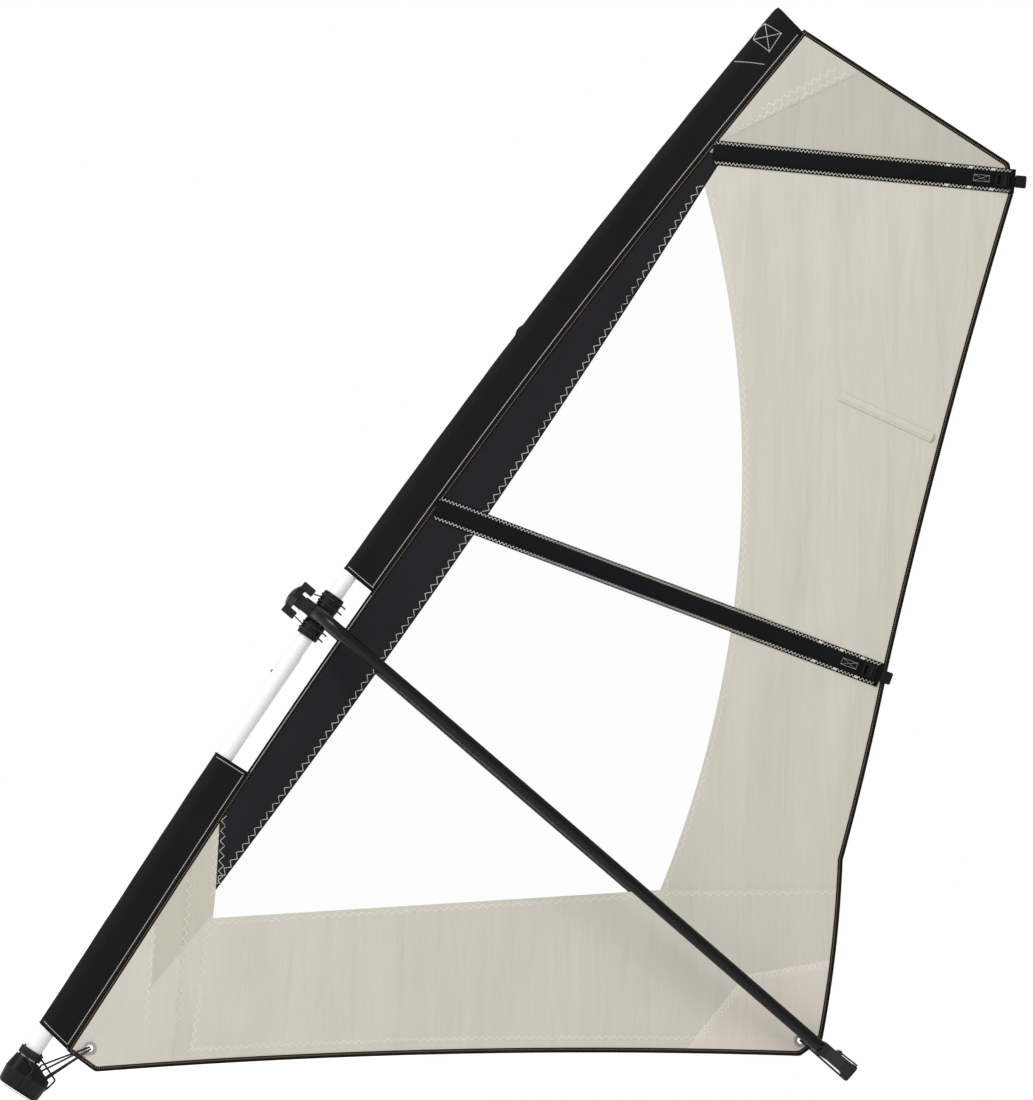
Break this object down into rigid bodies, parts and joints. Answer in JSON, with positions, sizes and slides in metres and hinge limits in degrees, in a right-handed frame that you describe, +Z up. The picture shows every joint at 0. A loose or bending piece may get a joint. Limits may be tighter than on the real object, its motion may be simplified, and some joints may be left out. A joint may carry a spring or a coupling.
{
  "type": "windsurf sail rig",
  "caption": "Windsurf rig: bent sectional mast, sleeve sail with clear window and battens, wishbone boom with pivoting head, and adjusting lines",
  "frame": {"origin": "centre of the mouth of the mast foot's socket", "axes": "+Z up the straight foot of the mast, +X aft towards the leech, Y across the sail with the batten pockets at -Y"},
  "size_m": [1.6169, 0.3626, 2.9145],
  "materials": {
    "bare_aluminium": "drawn, bare",
    "black_plastic": "moulded, satin",
    "steel": "polished",
    "beige_cloth": "woven polyester, calendered",
    "doubled_cloth": "doubled woven polyester",
    "black_cloth": "woven polyester",
    "black_webbing": "ribbed webbing",
    "clear_film": "clear film",
    "batten_strip": "pultruded strip",
    "foam_grip": "closed-cell foam",
    "black_rope": "braided cord"
  },
  "bodies": {
    "mast": {"batten_end_caps": "black_plastic", "batten_lower": "batten_strip", "batten_pocket_lower": "black_webbing", "batten_pocket_short": "beige_cloth", "batten_pocket_upper": "black_webbing", "batten_short": "batten_strip", "batten_upper": "batten_strip", "binding_foot": "black_cloth", "binding_head": "black_cloth", "binding_leech_lower": "black_cloth", "binding_leech_upper": "black_cloth", "binding_luff": "black_cloth", "buckle_frames": "black_plastic", "clew_patch": "doubled_cloth", "cuff_lashings": "black_rope", "downhaul_line": "black_rope", "foot_cleat": "black_plastic", "foot_panel": "beige_cloth", "foot_sheave_pins": "steel", "head_panel": "beige_cloth", "head_patch": "doubled_cloth", "leech_panel_lower": "beige_cloth", "leech_panel_upper": "beige_cloth", "luff_panel": "black_cloth", "luff_sleeve_lower": "black_cloth", "luff_sleeve_upper": "black_cloth", "mast_cuffs": "black_plastic", "mast_foot_cup": "black_plastic", "mast_foot_tube": "bare_aluminium", "mast_lower_tube": "bare_aluminium", "mast_middle_tube": "bare_aluminium", "mast_saddle": "black_plastic", "mast_top_plug": "black_plastic", "mast_top_tube": "bare_aluminium", "sail_eyelets": "steel", "tack_panel": "black_cloth", "tack_patch": "doubled_cloth", "tension_straps": "black_webbing", "window_film": "clear_film"},
    "boom": {"boom_arm_far": "bare_aluminium", "boom_arm_near": "bare_aluminium", "boom_front_plate": "black_plastic", "boom_grip_far": "foam_grip", "boom_grip_near": "foam_grip", "boom_nose_cover": "black_plastic", "boom_sockets": "black_plastic", "boom_tail_fitting": "black_plastic", "boom_yoke": "black_plastic", "head_ties": "black_rope", "outhaul_line": "black_rope", "tail_sheave_pins": "steel"},
    "buckle_bar_lower": {"buckle_bar_lower": "steel"},
    "buckle_bar_upper": {"buckle_bar_upper": "steel"},
    "foot_sheave_1": {"foot_sheave_1": "black_plastic"},
    "foot_sheave_2": {"foot_sheave_2": "black_plastic"},
    "outhaul_lever": {"outhaul_lever": "black_plastic"},
    "snap_button_lower": {"snap_button_lower": "steel"},
    "snap_button_upper": {"snap_button_upper": "steel"},
    "tail_sheave_lower": {"tail_sheave_lower": "black_plastic"},
    "tail_sheave_upper": {"tail_sheave_upper": "black_plastic"}
  },
  "joints": [
    {"name": "boom_swing", "type": "hinge", "parent": "mast", "child": "boom", "pos_m": [0.00105, 0, 1.2362], "axis": [0, -1, 0], "range_deg": [-12, 12], "deforming": ["outhaul_line", "head_ties"]},
    {"name": "foot_sheave_1_turn", "type": "hinge", "parent": "mast", "child": "foot_sheave_1", "pos_m": [0.042, 0, 0.051], "axis": [0, 1, 0], "continuous": true},
    {"name": "foot_sheave_2_turn", "type": "hinge", "parent": "mast", "child": "foot_sheave_2", "pos_m": [0.061, 0, 0.038], "axis": [0, 1, 0], "continuous": true},
    {"name": "tail_sheave_upper_turn", "type": "hinge", "parent": "boom", "child": "tail_sheave_upper", "pos_m": [1.53171, 0, 1.03581], "axis": [0, 1, 0], "continuous": true},
    {"name": "tail_sheave_lower_turn", "type": "hinge", "parent": "boom", "child": "tail_sheave_lower", "pos_m": [1.52922, 0, 1.01758], "axis": [0, 1, 0], "continuous": true},
    {"name": "outhaul_lever_lift", "type": "hinge", "parent": "boom", "child": "outhaul_lever", "pos_m": [1.48968, 0, 1.05096], "axis": [0, -1, 0], "range_deg": [0, 70]},
    {"name": "snap_button_lower_press", "type": "slide", "parent": "mast", "child": "snap_button_lower", "axis": [0.9997, 0, -0.0251], "range_m": [0, 0.004], "stiffness_N_per_m": 600},
    {"name": "snap_button_upper_press", "type": "slide", "parent": "mast", "child": "snap_button_upper", "axis": [0.9973, 0, -0.0738], "range_m": [0, 0.004], "stiffness_N_per_m": 600},
    {"name": "buckle_bar_upper_tilt", "type": "hinge", "parent": "mast", "child": "buckle_bar_upper", "pos_m": [0.75626, -0.0115, 2.86616], "axis": [-0.4622, 0, 0.8868], "range_deg": [0, 40]},
    {"name": "buckle_bar_lower_tilt", "type": "hinge", "parent": "mast", "child": "buckle_bar_lower", "pos_m": [1.09746, -0.0115, 1.79345], "axis": [-0.2126, 0, 0.9771], "range_deg": [0, 40]}
  ]
}
